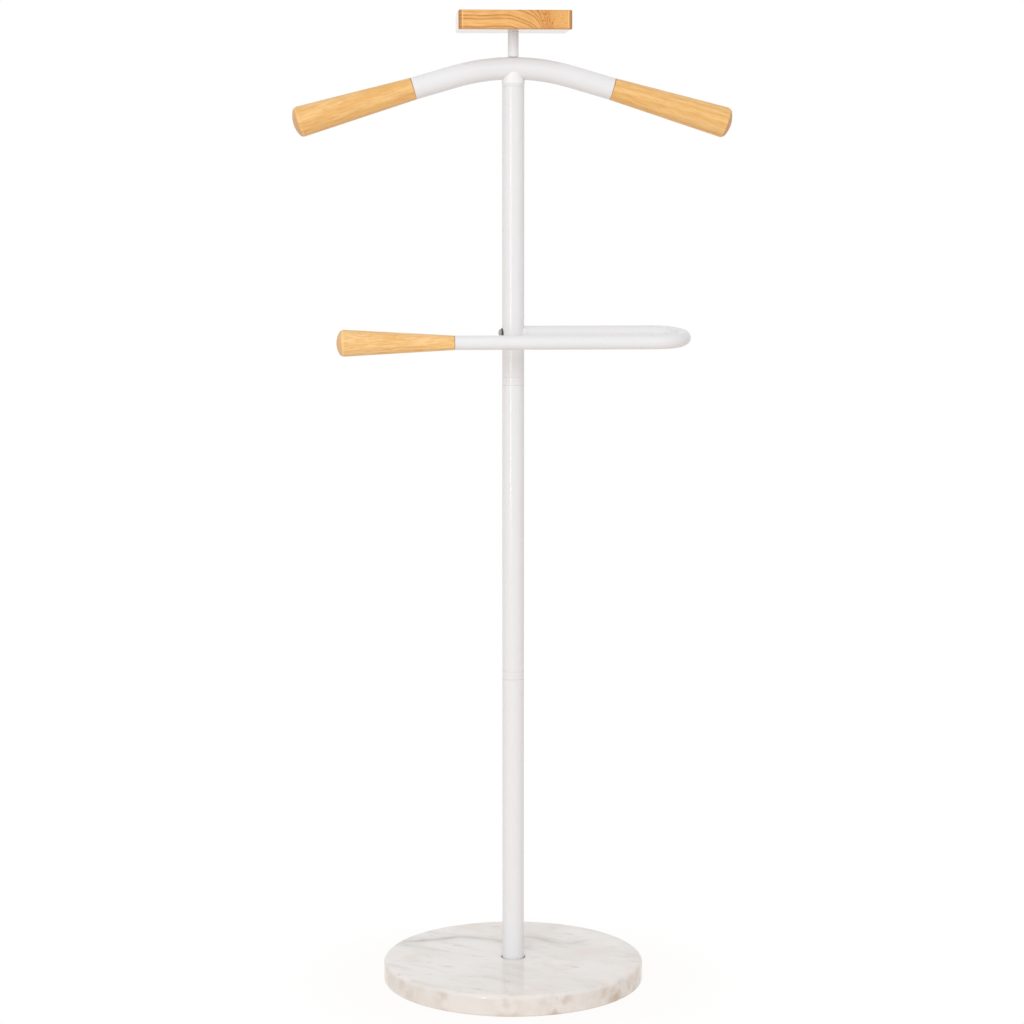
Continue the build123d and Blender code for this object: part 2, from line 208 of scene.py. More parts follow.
def seen_directly(tree):
    """1 for rays that show a surface to the camera, a mirror or a glass, and 0 for rays that carry light."""
    rays = add_node(tree, "LightPath").node.outputs
    seen = rays["Is Camera Ray"]
    for kind in ("Is Glossy Ray", "Is Transmission Ray"):
        seen = add_node(tree, "Math", {0: seen, 1: rays[kind]}, operation="MAXIMUM")
    return seen


def soft_lamp(name, turn, height, distance, width, tall, power, colour):
    """An area lamp that stands round the object at a turn from the front, aimed at mid height."""
    place = Vector((sin(turn) * distance, -cos(turn) * distance, height))
    aim = UP * (cad_high.z / 2)
    bpy.ops.object.light_add(type="AREA", location=place, rotation=facing(aim - place, "-Z"))
    lamp = bpy.context.object
    lamp.name = name
    lamp.data.shape = "RECTANGLE"
    lamp.data.size = width
    lamp.data.size_y = tall
    lamp.data.energy = power
    lamp.data.color = linear(colour)[:3]
    return lamp


world = bpy.data.worlds.new("studio")
world.use_nodes = True
bpy.context.scene.world = world
sky = world.node_tree
sky.nodes.clear()
fill = add_node(sky, "Background", {"Color": linear("FFFAF5"), "Strength": fill_level})
white = add_node(sky, "Background", {"Color": linear("FFFFFF")})
backdrop = add_node(sky, "MixShader", {0: seen_directly(sky), 1: fill, 2: white})
add_node(sky, "OutputWorld", {"Surface": backdrop})

soft_lamp("front_softbox", **front, colour="EAF3FF").visible_glossy = False
soft_lamp("rear_softbox", **rear, colour="EAF3FF").visible_glossy = False
soft_lamp("left_strip", **strip, colour="FFFFFF")

# %% [markdown]
# ## Lay a pale floor
#
# The floor of the photograph is white paper that melts into the background. A plain diffuse floor would
# show a grey horizon. So the camera sees mostly white from it, and close to the base it also sees some
# of the real shading, which keeps the soft shadow that makes the stand look heavy. The paper round the
# base lies in a pool of light. It sends a warm glow up at the edge of the marble and the foot of the
# pole, and hardly reaches the hanger, so the undersides up there stay darker.

# %% Floor
floor_size = 12.0
near_base = cad_high.x / 2
shade_radius = 0.3
shade_share = 0.12
pool_radius = 1.0
pool_glow = 0.7

bpy.ops.mesh.primitive_plane_add(size=floor_size)
floor = bpy.context.object
floor.name = "studio_floor"
paper = bpy.data.materials.new("white_paper")
paper.use_nodes = True
tree = paper.node_tree
tree.nodes.clear()
place = add_node(tree, "TexCoord", output="Object")
away = add_node(tree, "VectorMath", {0: place}, output="Value", operation="LENGTH")
fade = {"Value": away, "From Min": near_base, "To Max": 0}
shaded = add_node(tree, "MapRange", {**fade, "From Max": shade_radius, "To Min": shade_share}, **SMOOTH)
pool = add_node(tree, "MapRange", {**fade, "From Max": pool_radius, "To Min": pool_glow}, **SMOOTH)
plain = add_node(tree, "Math", {0: 1.0, 1: shaded}, operation="SUBTRACT")
plain = add_node(tree, "Math", {0: plain, 1: seen_directly(tree)}, operation="MULTIPLY")
paper_face = add_node(tree, "BsdfDiffuse", {"Color": linear("E3DBD4")})
paper_glow = add_node(tree, "Emission", {"Color": linear("FFF1E1")})
paper_white = add_node(tree, "Emission", {"Color": linear("FFFFFF")})
sheet = add_node(tree, "MixShader", {0: pool, 1: paper_face, 2: paper_glow})
sheet = add_node(tree, "MixShader", {0: plain, 1: sheet, 2: paper_white})
add_node(tree, "OutputMaterial", {"Surface": sheet})
floor.data.materials.append(paper)
print("floor:", floor.dimensions.x, "m square")

# %% [markdown]
# ## Work on a mesh as by hand
#
# Every new piece starts as a primitive of the right size in the right place. It is named, its place goes
# into its mesh, and it is opened for editing. `pick` selects by place, as a hand would with a box: it takes
# every edge or face whose corners all lie inside a test, and leaves out those that lie wholly inside a
# second one. A modifier is applied as soon as it is added. When the mesh is done, `settle_mesh` merges its
# doubles and turns its faces outwards. `close_piece` smooths it, hides the CAD node it stands for, and
# hangs it on the body it moves with.


# %% Modelling helpers
TINY = 0.01 * MM
ring_sides = 96
drill_sides = 32


def open_piece(name):
    """Name the primitive just added, move its place into its mesh and open it."""
    piece = bpy.context.object
    piece.name = piece.data.name = name
    bpy.ops.object.transform_apply(location=True, rotation=True, scale=True)
    bpy.ops.object.mode_set(mode="EDIT")
    return piece


def open_blank(name, node, sides=0):
    """Add a cylinder of so many sides, or else a box, as big as a CAD node, and open it."""
    low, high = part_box(node)
    middle = (low + high) / 2
    size = high - low
    if sides:
        on_axis = UP * middle.z
        bpy.ops.mesh.primitive_cylinder_add(vertices=sides, radius=high.x, depth=size.z, location=on_axis)
    else:
        bpy.ops.mesh.primitive_cube_add(size=1, location=middle, scale=size)
    return open_piece(name), low, high


def open_ring(name, radius, place, along):
    """Add a ring that a direction passes through, open it and select all of it."""
    turn = facing(along)
    bpy.ops.mesh.primitive_circle_add(vertices=ring_sides, radius=radius, location=place, rotation=turn)
    ring = open_piece(name)
    bpy.ops.mesh.select_all(action="SELECT")
    return ring


def pick(kind, inside, outside=lambda p: False):
    """Select the open piece's edges or faces that lie inside one test and not wholly inside another."""
    bpy.ops.mesh.select_mode(type=kind)
    bpy.ops.mesh.select_all(action="DESELECT")
    mesh = bmesh.from_edit_mesh(bpy.context.object.data)
    for item in {"EDGE": mesh.edges, "FACE": mesh.faces}[kind]:
        corners = [corner.co for corner in item.verts]
        if all(map(inside, corners)) and not all(map(outside, corners)):
            item.select_set(True)
    bmesh.update_edit_mesh(bpy.context.object.data)


def round_edges(width, segments, *tests):
    """Pick edges by one or two tests and bevel them round."""
    pick("EDGE", *tests)
    bpy.ops.mesh.bevel(offset=width, segments=segments, affect="EDGES")


def extrude(move):
    """Extrude the selection along a vector."""
    bpy.ops.mesh.extrude_region_move(TRANSFORM_OT_translate={"value": move})


def settle_mesh():
    """Merge doubles, turn every face outwards and go back to object mode."""
    bpy.ops.mesh.select_all(action="SELECT")
    bpy.ops.mesh.remove_doubles(threshold=TINY)
    bpy.ops.mesh.normals_make_consistent(inside=False)
    bpy.ops.object.mode_set(mode="OBJECT")


def add_modifier(piece, kind, **settings):
    """Add a modifier to a piece in object mode and apply it."""
    bpy.ops.object.modifier_add(type=kind)
    modifier = piece.modifiers[-1]
    for name, value in settings.items():
        setattr(modifier, name, value)
    bpy.ops.object.modifier_apply(modifier=modifier.name)


def drill(piece, start, along, radius):
    """Cut a round hole through a piece in object mode, from a start point along a vector."""
    middle = start + along / 2
    bpy.ops.mesh.primitive_cylinder_add(
        vertices=drill_sides, radius=radius, depth=along.length, location=middle, rotation=facing(along)
    )
    bit = bpy.context.object
    bpy.context.view_layer.objects.active = piece
    add_modifier(piece, "BOOLEAN", operation="DIFFERENCE", object=bit)
    bpy.data.objects.remove(bit)
    piece.select_set(True)


def close_piece(piece, node, body, smooth=40):
    """Smooth a piece up to an angle in degrees, hide its CAD node and hang it on its body."""
    bpy.ops.object.shade_smooth_by_angle(angle=radians(smooth))
    add_modifier(piece, "WEIGHTED_NORMAL", keep_sharp=True)
    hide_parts(node)
    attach(piece, body)
    size = piece.dimensions / MM
    triangles = sum(len(face.vertices) - 2 for face in piece.data.polygons)
    print(f"{piece.name}: {size.x:.1f} x {size.y:.1f} x {size.z:.1f} mm, {triangles} triangles")


# %% [markdown]
# ## The marble disc
#
# On the real stand a disc of marble is sawn, drilled and polished. Its upper edge has a generous round
# and its lower edge a smaller one. In the middle is a shallow socket for the pole, with a hole for the
# bolt and, below, a recess for the bolt's head. A lathe profile would do, but a cylinder with bevelled
# rims, insets and extrudes follows what the mason does.

# %% Marble disc
disc_sides = 192
disc_top_round = 5.0 * MM
disc_bottom_round = 3.0 * MM
socket_radius = 13.4 * MM
socket_depth = 6.0 * MM
socket_edge = 1.2 * MM
bolt_hole_radius = 5.3 * MM
recess_radius = 16.0 * MM
recess_depth = 9.0 * MM

marble_disc, disc_low, disc_high = open_blank("polished_marble_disc", "marble_base", disc_sides)
disc_radius = disc_high.x
near_top = disc_high.z - TINY
near_bottom = disc_low.z + TINY
round_edges(disc_top_round, 10, lambda p: p.z > near_top)
round_edges(disc_bottom_round, 6, lambda p: p.z < near_bottom)

recess_top = disc_low.z + recess_depth
pick("FACE", lambda p: p.z > near_top)
bpy.ops.mesh.inset(thickness=disc_radius - disc_top_round - socket_radius)
extrude((0, 0, -socket_depth))
bpy.ops.mesh.inset(thickness=socket_radius - bolt_hole_radius)
extrude((0, 0, recess_top - (disc_high.z - socket_depth)))
pick("FACE", lambda p: p.z < near_bottom)
bpy.ops.mesh.inset(thickness=disc_radius - disc_bottom_round - recess_radius)
extrude((0, 0, recess_depth))
bpy.ops.mesh.inset(thickness=recess_radius - bolt_hole_radius)
pick("FACE", lambda p: p.xy.length < bolt_hole_radius + TINY and abs(p.z - recess_top) < TINY)
bpy.ops.mesh.delete(type="FACE")
round_edges(socket_edge, 2, lambda p: abs(p.xy.length - socket_radius) < 10 * TINY and p.z > near_top)
settle_mesh()
close_piece(marble_disc, "marble_base", "stand")

# %% [markdown]
# ## The foam ring under it
#
# A thin ring of black foam keeps the stone off the floor. It is soft, so its edges are not crisp: a
# cylinder is opened in the middle, its two openings are bridged, and every rim is bevelled round.

# %% Foam ring
foam_edge = 0.45 * MM
foam_bore = 20.0 * MM

foam_ring, foam_low, foam_high = open_blank("foam_ring", "base_pad", disc_sides)
for level in (foam_low.z, foam_high.z):
    pick("FACE", lambda p: abs(p.z - level) < TINY)
    bpy.ops.mesh.inset(thickness=foam_high.x - foam_bore)
    bpy.ops.mesh.delete(type="FACE")
pick("EDGE", lambda p: p.xy.length < foam_bore + TINY)
bpy.ops.mesh.bridge_edge_loops()
settle_mesh()
add_modifier(foam_ring, "BEVEL", width=foam_edge, segments=3, limit_method="ANGLE")
close_piece(foam_ring, "base_pad", "stand")

# %% [markdown]
# ## One function for every steel tube
#
# The pole, the hanger and the trouser rail are steel tube, cut, bent and painted. A tube is a ring that
# is drawn along a line: extruded where the tube is straight and spun where a bender has bent it. That
# gives a thin skin. Solidify adds the wall on the inside, and a small bevel at the rims stands for the
# paint that rounds every cut edge.


# %% Tube function
tube_wall = 1.2 * MM
painted_edge = 0.3 * MM
bend_step = radians(2.5)


def drawn_tube(name, start, along, radius, runs):
    """Draw a ring from a start through straight runs, given as vectors, and bends, given as spins."""
    tube = open_ring(name, radius, start, along)
    for run in runs:
        if isinstance(run, Vector):
            extrude(run)
        else:
            bpy.ops.mesh.spin(steps=round(run["angle"] / bend_step), **run)
    settle_mesh()
    add_modifier(tube, "SOLIDIFY", thickness=tube_wall, offset=-1, use_even_offset=True)
    add_modifier(tube, "BEVEL", width=painted_edge, segments=3, limit_method="ANGLE")
    return tube


# %% [markdown]
# ## The pole
#
# The pole comes apart in three lengths, so that it fits a flat box. All three are plain tubes. The upper
# one has a cross hole for the bolt of the trouser rail. The tube is drawn in three runs there, so that
# the hole cuts a short stretch and the long faces stay clean.

# %% Pole lengths
bolt_clearance_radius = 2.8 * MM
hole_stretch = 12.0 * MM

spacer_low, spacer_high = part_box("bar_spacer")
rail_axis_height = (spacer_low.z + spacer_high.z) / 2
pole_lengths = []
for section in ("lower", "middle", "upper"):
    node = f"{section}_pole_tube"
    tube_low, tube_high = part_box(node)
    levels = [tube_low.z, tube_high.z]
    if section == "upper":
        levels[1:1] = [rail_axis_height - hole_stretch, rail_axis_height + hole_stretch]
    runs = [UP * (above - below) for below, above in zip(levels, levels[1:])]
    pole = drawn_tube(f"{section}_pole_length", UP * tube_low.z, UP, tube_high.x, runs)
    if section == "upper":
        across = RIGHT * 4 * tube_high.x
        drill(pole, UP * rail_axis_height - across / 2, across, bolt_clearance_radius)
    close_piece(pole, node, "stand")
    pole_lengths.append(pole)

# %% [markdown]
# ## The bent hanger tube
#
# The coat hanger is a short tube of the pole's own diameter, bent to a gentle arch so that it falls away
# like a pair of shoulders. The ring starts at the end of the left arm, runs straight up the arm, is spun
# about the centre of the bend, and runs straight down the right arm. A stud passes through its middle.

# %% Hanger tube
hanger_slope = radians(16.2)
hanger_bend_radius = 235.0 * MM
hanger_arm = 47.5 * MM
stud_hole_radius = 3.3 * MM

hanger_low, hanger_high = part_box("hanger_tube")
hanger_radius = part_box("upper_pole_tube")[1].x
bend_centre = UP * (hanger_high.z - hanger_radius - hanger_bend_radius)
left_out = Vector((-cos(hanger_slope), 0, -sin(hanger_slope)))
right_out = Vector((cos(hanger_slope), 0, -sin(hanger_slope)))
bend_start = bend_centre + Vector((-sin(hanger_slope), 0, cos(hanger_slope))) * hanger_bend_radius
left_arm_end = bend_start + left_out * hanger_arm
right_arm_end = Vector((-left_arm_end.x, 0, left_arm_end.z))

arch = {"angle": 2 * hanger_slope, "center": bend_centre, "axis": -BACK}
hanger_runs = [-left_out * hanger_arm, arch, right_out * hanger_arm]
hanger_tube = drawn_tube("bent_hanger_tube", left_arm_end, -left_out, hanger_radius, hanger_runs)
drill(hanger_tube, UP * hanger_low.z, UP * 4 * hanger_radius, stud_hole_radius)
close_piece(hanger_tube, "hanger_tube", "hanger")

# %% [markdown]
# ## The trouser rail
#
# The trouser rail is a thinner tube bent to a long U. Its rear leg ends at a spacer on the pole, and the
# whole rail tips forward a little. The same function draws it: out along the rear leg, half a turn round
# the bend, and back along the front leg to the wooden grip.

# %% Trouser rail
rail_radius = 8.0 * MM
rail_leg_spacing = 66.0 * MM
rail_reach = 189.5 * MM
rail_droop = radians(6.2)

rail_forward = Vector((0, -cos(rail_droop), -sin(rail_droop)))
rail_up = Vector((0, -sin(rail_droop), cos(rail_droop)))
rail_bend_radius = rail_leg_spacing / 2
rail_start = Vector((spacer_high.x, 0, rail_axis_height))
rail_bend_start = rail_reach - rail_bend_radius
rail_bend_centre = Vector((rail_bend_start, 0, rail_axis_height)) + rail_forward * rail_bend_radius
rail_front_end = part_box("trouser_bar_tube")[0].x

half_turn = {"angle": pi, "center": rail_bend_centre, "axis": rail_up}
rear_leg = RIGHT * (rail_bend_start - rail_start.x)
front_leg = -RIGHT * (rail_bend_start - rail_front_end)
rail_runs = [rear_leg, half_turn, front_leg]
trouser_rail = drawn_tube("bent_trouser_rail", rail_start, RIGHT, rail_radius, rail_runs)
close_piece(trouser_rail, "trouser_bar_tube", "trouser_bar")

# %% [markdown]
# ## Turned wooden handles
#
# The shoulders of the hanger and the grip of the rail are turned on a lathe: a tenon that is glued into
# the tube, a body that tapers from the tube's diameter to a thick end, a well-rounded shoulder and a
# flat crown. A spin of one profile would make them. Here a ring is extruded from station to station and
# resized at each, which needs no profile sketch. The rounding has to touch the tapered side and the crown
# at once, and each of a few passes brings it closer to both.


# %% Handle function
neck_edge = 0.4 * MM
end_round = 6.2 * MM
body_stations = 14
round_stations = 8
crown_stations = 8
rounding_passes = 3


def turned_handle(name, neck, along, neck_radius, end_radius, length, crown, tenon):
    """Extrude and resize a ring along a handle's axis, from its tenon to the top of its crown."""
    ball_radius = (end_radius**2 + crown**2) / (2 * crown)
    ball_place = length - ball_radius
    taper = (end_radius - neck_radius) / (length - crown - neck_edge)
    widest = end_radius
    for _ in range(rounding_passes):
        crown_angle = asin((widest - end_round) / (ball_radius - end_round))
        round_place = ball_place + (ball_radius - end_round) * cos(crown_angle)
        widest = neck_radius + taper * (round_place - neck_edge)
    round_reach = widest - end_round
    radius = neck_radius - tube_wall - TINY
    stations = [(0, radius), (0, neck_radius - neck_edge), (neck_edge, neck_radius)]
    for i in range(1, body_stations + 1):
        station = neck_edge + (round_place - neck_edge) * i / body_stations
        stations.append((station, neck_radius + taper * (station - neck_edge)))
    for i in range(1, round_stations + 1):
        angle = (pi / 2 - crown_angle) * i / round_stations
        stations.append((round_place + end_round * sin(angle), round_reach + end_round * cos(angle)))
    for i in range(1, crown_stations):
        angle = crown_angle * (1 - i / crown_stations)
        stations.append((ball_place + ball_radius * cos(angle), ball_radius * sin(angle)))
    stations.append((length, 2 * TINY))

    handle = open_ring(name, radius, neck - along * tenon, along)
    distance = -tenon
    for next_distance, next_radius in stations:
        extrude(along * (next_distance - distance))
        scale = next_radius / radius
        bpy.ops.transform.resize(value=(scale, scale, scale), center_override=neck + along * next_distance)
        distance, radius = next_distance, next_radius
    bpy.ops.mesh.merge(type="CENTER")
    pick("EDGE", lambda p: (p - neck).dot(along) < -tenon + TINY)
    bpy.ops.mesh.edge_face_add()
    settle_mesh()
    return handle


# %% [markdown]
# The two shoulders are mirror images that sit on the ends of the hanger's arms. The grip is the same form
# at a smaller size on the front leg of the rail.

# %% Shoulders and grip
shoulder_length = 139.5 * MM
shoulder_shape = {"neck_radius": hanger_radius, "end_radius": 17.3 * MM, "length": shoulder_length,
                  "crown": 5.3 * MM, "tenon": 30.0 * MM}
grip_length = 130.5 * MM
grip_shape = {"neck_radius": rail_radius, "end_radius": 15.0 * MM, "length": grip_length,
              "crown": 5.4 * MM, "tenon": 25.0 * MM}

left_shoulder = turned_handle("left_wooden_shoulder", left_arm_end, left_out, **shoulder_shape)
close_piece(left_shoulder, "left_hanger_handle", "hanger")
right_shoulder = turned_handle("right_wooden_shoulder", right_arm_end, right_out, **shoulder_shape)
close_piece(right_shoulder, "right_hanger_handle", "hanger")

grip_neck = Vector((rail_front_end, 0, rail_axis_height)) + rail_forward * rail_leg_spacing
grip = turned_handle("wooden_rail_grip", grip_neck, -RIGHT, **grip_shape)
close_piece(grip, "trouser_bar_handle", "trouser_bar")

# %% [markdown]
# ## The tray's post
#
# A slim rod carries the tray above the hanger. It is turned from bar, faced at both ends with a small
# chamfer, and tapped from both ends. The bores are insets pushed inwards.

# %% Tray post
post_sides = 64
post_edge = 0.4 * MM
post_bore_radius = 3.05 * MM
post_bore_depth = 10.0 * MM

tray_post, post_low, post_high = open_blank("turned_tray_post", "tray_post", post_sides)
for level, inwards in ((post_low.z, UP), (post_high.z, -UP)):
    round_edges(post_edge, 2, lambda p: abs(p.z - level) < TINY)
    pick("FACE", lambda p: abs(p.z - level) < TINY)
    bpy.ops.mesh.inset(thickness=post_high.x - post_edge - post_bore_radius)
    extrude(inwards * post_bore_depth)
settle_mesh()
close_piece(tray_post, "tray_post", "stand", smooth=30)

# %% [markdown]
# ## The tray pan
#
# The pan is one piece of steel sheet, folded up on four sides, with rounded rear corners and a small bend
# radius along the floor. A box without its lid has its rear corners and floor edges bevelled, Solidify
# adds the sheet's thickness inwards, and a fine bevel softens the rim. Three holes take the screws.

# %% Tray pan
pan_corner = 2.8 * MM
pan_bend = 2.0 * MM
sheet_edge = 0.25 * MM
sharp_angle = radians(60)
post_screw_hole = 3.08 * MM
front_screw_hole = 2.05 * MM
front_screw_spacing = 80.0 * MM

tray_pan, pan_low, pan_high = open_blank("folded_tray_pan", "tray_shell")
pick("FACE", lambda p: p.z > pan_high.z - TINY)
bpy.ops.mesh.delete(type="ONLY_FACE")
for side in (-1, 1):
    round_edges(pan_corner, 6, lambda p: p.y > pan_high.y - TINY and p.x * side > pan_high.x - TINY)
round_edges(pan_bend, 5, lambda p: p.z < pan_low.z + TINY, lambda p: p.y < pan_low.y + TINY)
settle_mesh()
add_modifier(tray_pan, "SOLIDIFY", thickness=tube_wall, offset=-1, use_even_offset=True)
drill(tray_pan, UP * (pan_low.z - tube_wall), UP * 3 * tube_wall, post_screw_hole)
front_screw_height = sum(corner.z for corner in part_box("tray_front_screws")) / 2
screw_places = (-front_screw_spacing / 2, front_screw_spacing / 2)
for screw_x in screw_places:
    screw_place = Vector((screw_x, pan_low.y - tube_wall, front_screw_height))
    drill(tray_pan, screw_place, BACK * 3 * tube_wall, front_screw_hole)
add_modifier(tray_pan, "BEVEL", width=sheet_edge, segments=2, limit_method="ANGLE", angle_limit=sharp_angle)
close_piece(tray_pan, "tray_shell", "tray", smooth=35)

# %% [markdown]
# ## The wooden front of the tray
#
# A planed board closes the front of the tray. Its upright edges are well rounded and its long edges are
# just broken with sandpaper. The upright edges are bevelled first, then the loops above and below.

# %% Tray front
board_corner = 3.0 * MM
board_edge = 1.0 * MM
board_screw_radius = 1.8 * MM
board_screw_depth = 8.0 * MM

tray_board, board_low, board_high = open_blank("wooden_tray_front", "tray_front")
for side in (-1, 1):
    round_edges(board_corner, 8, lambda p: p.y < board_low.y + TINY and p.x * side > board_high.x - TINY)
for level in (board_low.z, board_high.z):
    round_edges(board_edge, 4, lambda p: abs(p.z - level) < TINY, lambda p: p.y > board_high.y - TINY)
settle_mesh()
for screw_x in screw_places:
    screw_place = Vector((screw_x, board_high.y - board_screw_depth, front_screw_height))
    drill(tray_board, screw_place, BACK * 2 * board_screw_depth, board_screw_radius)
close_piece(tray_board, "tray_front", "tray", smooth=35)

# %% [markdown]
# ## Powder-coated steel
#
# The tubes and the tray are steel with a baked powder coat: a thick white polymer skin, even in colour,
# with a satin gloss and the faint ripple that painters call orange peel. The ripple is really about a
# millimetre across, which is near the size of a pixel here, so it is drawn a little coarser to show. It
# moves the highlight by a hair and breaks the clean line that gives away a computer picture. The tray's
# white is warmer and a little darker than the tubes', as painted shade under the tray, so one function
# serves both.

# %% Powder coat
peel_size = 3.0
peel_height = 0.003
coat_patch = 45.0
coat_rough = (0.13, 0.18)


def powder_coat(name, white, shade):
    """Powder-coated steel in two close whites, with a satin gloss and a faint ripple."""
    coat, tree, shader, place = new_material(name)
    peel = add_node(tree, "TexNoise", {"Vector": place, "Scale": per_mm(peel_size)})
    patch = add_node(tree, "TexNoise", {"Vector": place, "Scale": per_mm(coat_patch), "Detail": 1.0})
    link_finish(tree, shader, tinted(tree, white, (patch, shade)), peel, coat_rough, peel_height)
    return coat


tube_coat = powder_coat("powder_coated_tube", "E8E8EA", "E5E5E6")
# The tray's warmer, darker white is painted shade
shaded_tray_coat = powder_coat("powder_coated_tray", "EAE3DF", "E7DFDA")
print("powder coat ripple scale:", per_mm(peel_size))

# %% [markdown]
# ## Moulded white plastic
#
# The saddle under the hanger and the spacer of the rail are injection-moulded. The saddle is whiter than
# the paint and the spacer is about as white. Both carry the fine even grain of a spark-eroded mould. One
# noise drives the colour, the gloss and the bump, here and in the small finishes further on.

# %% White plastic
mould = {"size": 1.6, "height": 0.01, "rough": (0.34, 0.42), "IOR": 1.49}


def grained_finish(name, light, dark, size, height, rough, **numbers):
    """A finish from one noise of a size and a height in mm, with constant numbers for the shader."""
    finish, tree, shader, place = new_material(name, **numbers)
    grain = add_node(tree, "TexNoise", {"Vector": place, "Scale": per_mm(size), "Detail": 3.0})
    link_finish(tree, shader, tinted(tree, light, (grain, dark)), grain, rough, height)
    return finish


saddle_plastic = grained_finish("moulded_saddle_plastic", "F2F2F3", "EFEFF0", **mould)
spacer_plastic = grained_finish("moulded_spacer_plastic", "E7E7E9", "E4E4E6", **mould)
print("plastic grain:", mould["size"], "mm")

# %% [markdown]
# ## Turned wood
#
# The shoulders and the grip are turned from a straight-grained pale hardwood and clear-lacquered. Grain
# runs along the handle: a piece of wood is a stack of yearly rings round a pith, so the pattern is made
# as rings round a line that lies outside the handle, and the lathe cuts through them by itself. A Mapping
# node puts each handle's own axis on X, so that one recipe serves three handles, and squeezes X so that
# every noise becomes a long fibre. Short dark flecks are pores filled with lacquer. A paler band on the
# arris is a painted highlight. The domed end cuts across the fibres and drinks more lacquer, so it is
# browner, and each handle's end has its own brown: the right shoulder's is darkest, partly painted shade
# where it faces away from the light. The cut at the neck holds a dark line.


# %% Turned wood function
WAVE_LENGTH = 2 * pi / 20  # of the Wave texture at a scale of 1
fibre_stretch = 17.0
ring_width = 6.5
fibre_width = 1.2
fleck_width = 1.3
grain_slant = radians(2.0)
pith_offset = Vector((0, 45.0, 30.0)) * MM
fibre_height = 0.05
turned_rough = (0.34, 0.48)
cut_dark = 0.33 * MM
cut_clear = 1.1 * MM
arris_place = 7.2 * MM
arris_width = 1.5 * MM
dome_start = 6.4 * MM
dome_full = 4.6 * MM


def turned_wood(name, neck, along, length, seed, light, dark, arris_highlight, end):
    """Lacquered wood whose grain follows a handle that starts at its neck and runs along its axis."""
    wood, tree, shader, place = new_material(name)
    turn = along.to_track_quat("X", "Z").to_euler()
    turn.y += grain_slant
    squeeze = {"Vector": place, "Location": neck, "Rotation": turn, "Scale": (fibre_stretch, 1, 1)}
    grain = add_node(tree, "Mapping", squeeze, vector_type="TEXTURE")
    blank = add_node(tree, "VectorMath", {0: grain, 1: pith_offset + RIGHT * seed}, operation="ADD")
    rings = {"Vector": blank, "Scale": WAVE_LENGTH * per_mm(ring_width), "Distortion": 4.0,
             "Detail": 3.0, "Detail Scale": 1.5}
    rings = add_node(tree, "TexWave", rings, output="Fac", wave_type="RINGS", rings_direction="X")
    fibre = {"Vector": blank, "Scale": per_mm(fibre_width), "Detail": 4.0, "Roughness": 0.65}
    fibre = add_node(tree, "TexNoise", fibre)
    streak = add_node(tree, "MapRange", {"Value": fibre, "From Min": 0.4, "From Max": 0.68, "To Max": 0.78})
    fleck = add_node(tree, "TexNoise", {"Vector": blank, "Scale": per_mm(fleck_width), "Detail": 1.0})
    pores = add_node(tree, "MapRange", {"Value": fleck, "From Min": 0.62, "From Max": 0.76, "To Max": 0.45})

    # Places along the handle
    from_neck = add_node(tree, "SeparateXYZ", {0: grain}, output="X")
    from_neck = add_node(tree, "Math", {0: from_neck, 1: fibre_stretch}, operation="MULTIPLY")
    # A painted highlight: a paler band round the arris, stronger on the grip
    arris_highlight_mask = add_node(tree, "Math", {0: from_neck, 1: length - arris_place}, operation="SUBTRACT")
    arris_highlight_mask = add_node(tree, "Math", {0: arris_highlight_mask}, operation="ABSOLUTE")
    arris_highlight_mask = add_node(tree, "MapRange", {"Value": arris_highlight_mask, "From Max": arris_width, "To Min": arris_highlight, "To Max": 0})
    # The domed end is browner end grain; on the right shoulder its darker brown is also painted shade
    dome = {"Value": from_neck, "From Min": length - dome_start, "From Max": length - dome_full}
    dome = add_node(tree, "MapRange", {**dome, "To Max": 0.75})
    cut = {"Value": from_neck, "From Min": cut_dark, "From Max": cut_clear, "To Min": 0.7, "To Max": 0}
    cut = add_node(tree, "MapRange", cut)

    tints = [(rings, dark), (streak, "DC9F58"), (pores, "C0854A"),
             (arris_highlight_mask, "FBDDA8"), (dome, end), (cut, "97602F")]
    link_finish(tree, shader, tinted(tree, light, *tints), fibre, turned_rough, fibre_height)
    return wood


# %% Wood for the three handles
shoulder_tones = {"length": shoulder_length, "light": "F3C986", "dark": "EAB86E", "arris_highlight": 0.25}
grip_tones = {"length": grip_length, "light": "F9D394", "dark": "F2C580", "arris_highlight": 0.45}
# The right shoulder's end brown is darker than the left's, as painted shade
for handle, side, neck, along, seed, end, tones in (
    (left_shoulder, "left", left_arm_end, left_out, 0.10, "D8A175", shoulder_tones),
    (right_shoulder, "right", right_arm_end, right_out, 0.47, "C89366", shoulder_tones),
    (grip, "grip", grip_neck, -RIGHT, 0.83, "E1B078", grip_tones),
):
    wood = turned_wood("turned_wood_" + side, neck, along, seed=seed, end=end, **tones)
    handle.data.materials.append(wood)
print("ring width:", ring_width, "mm")
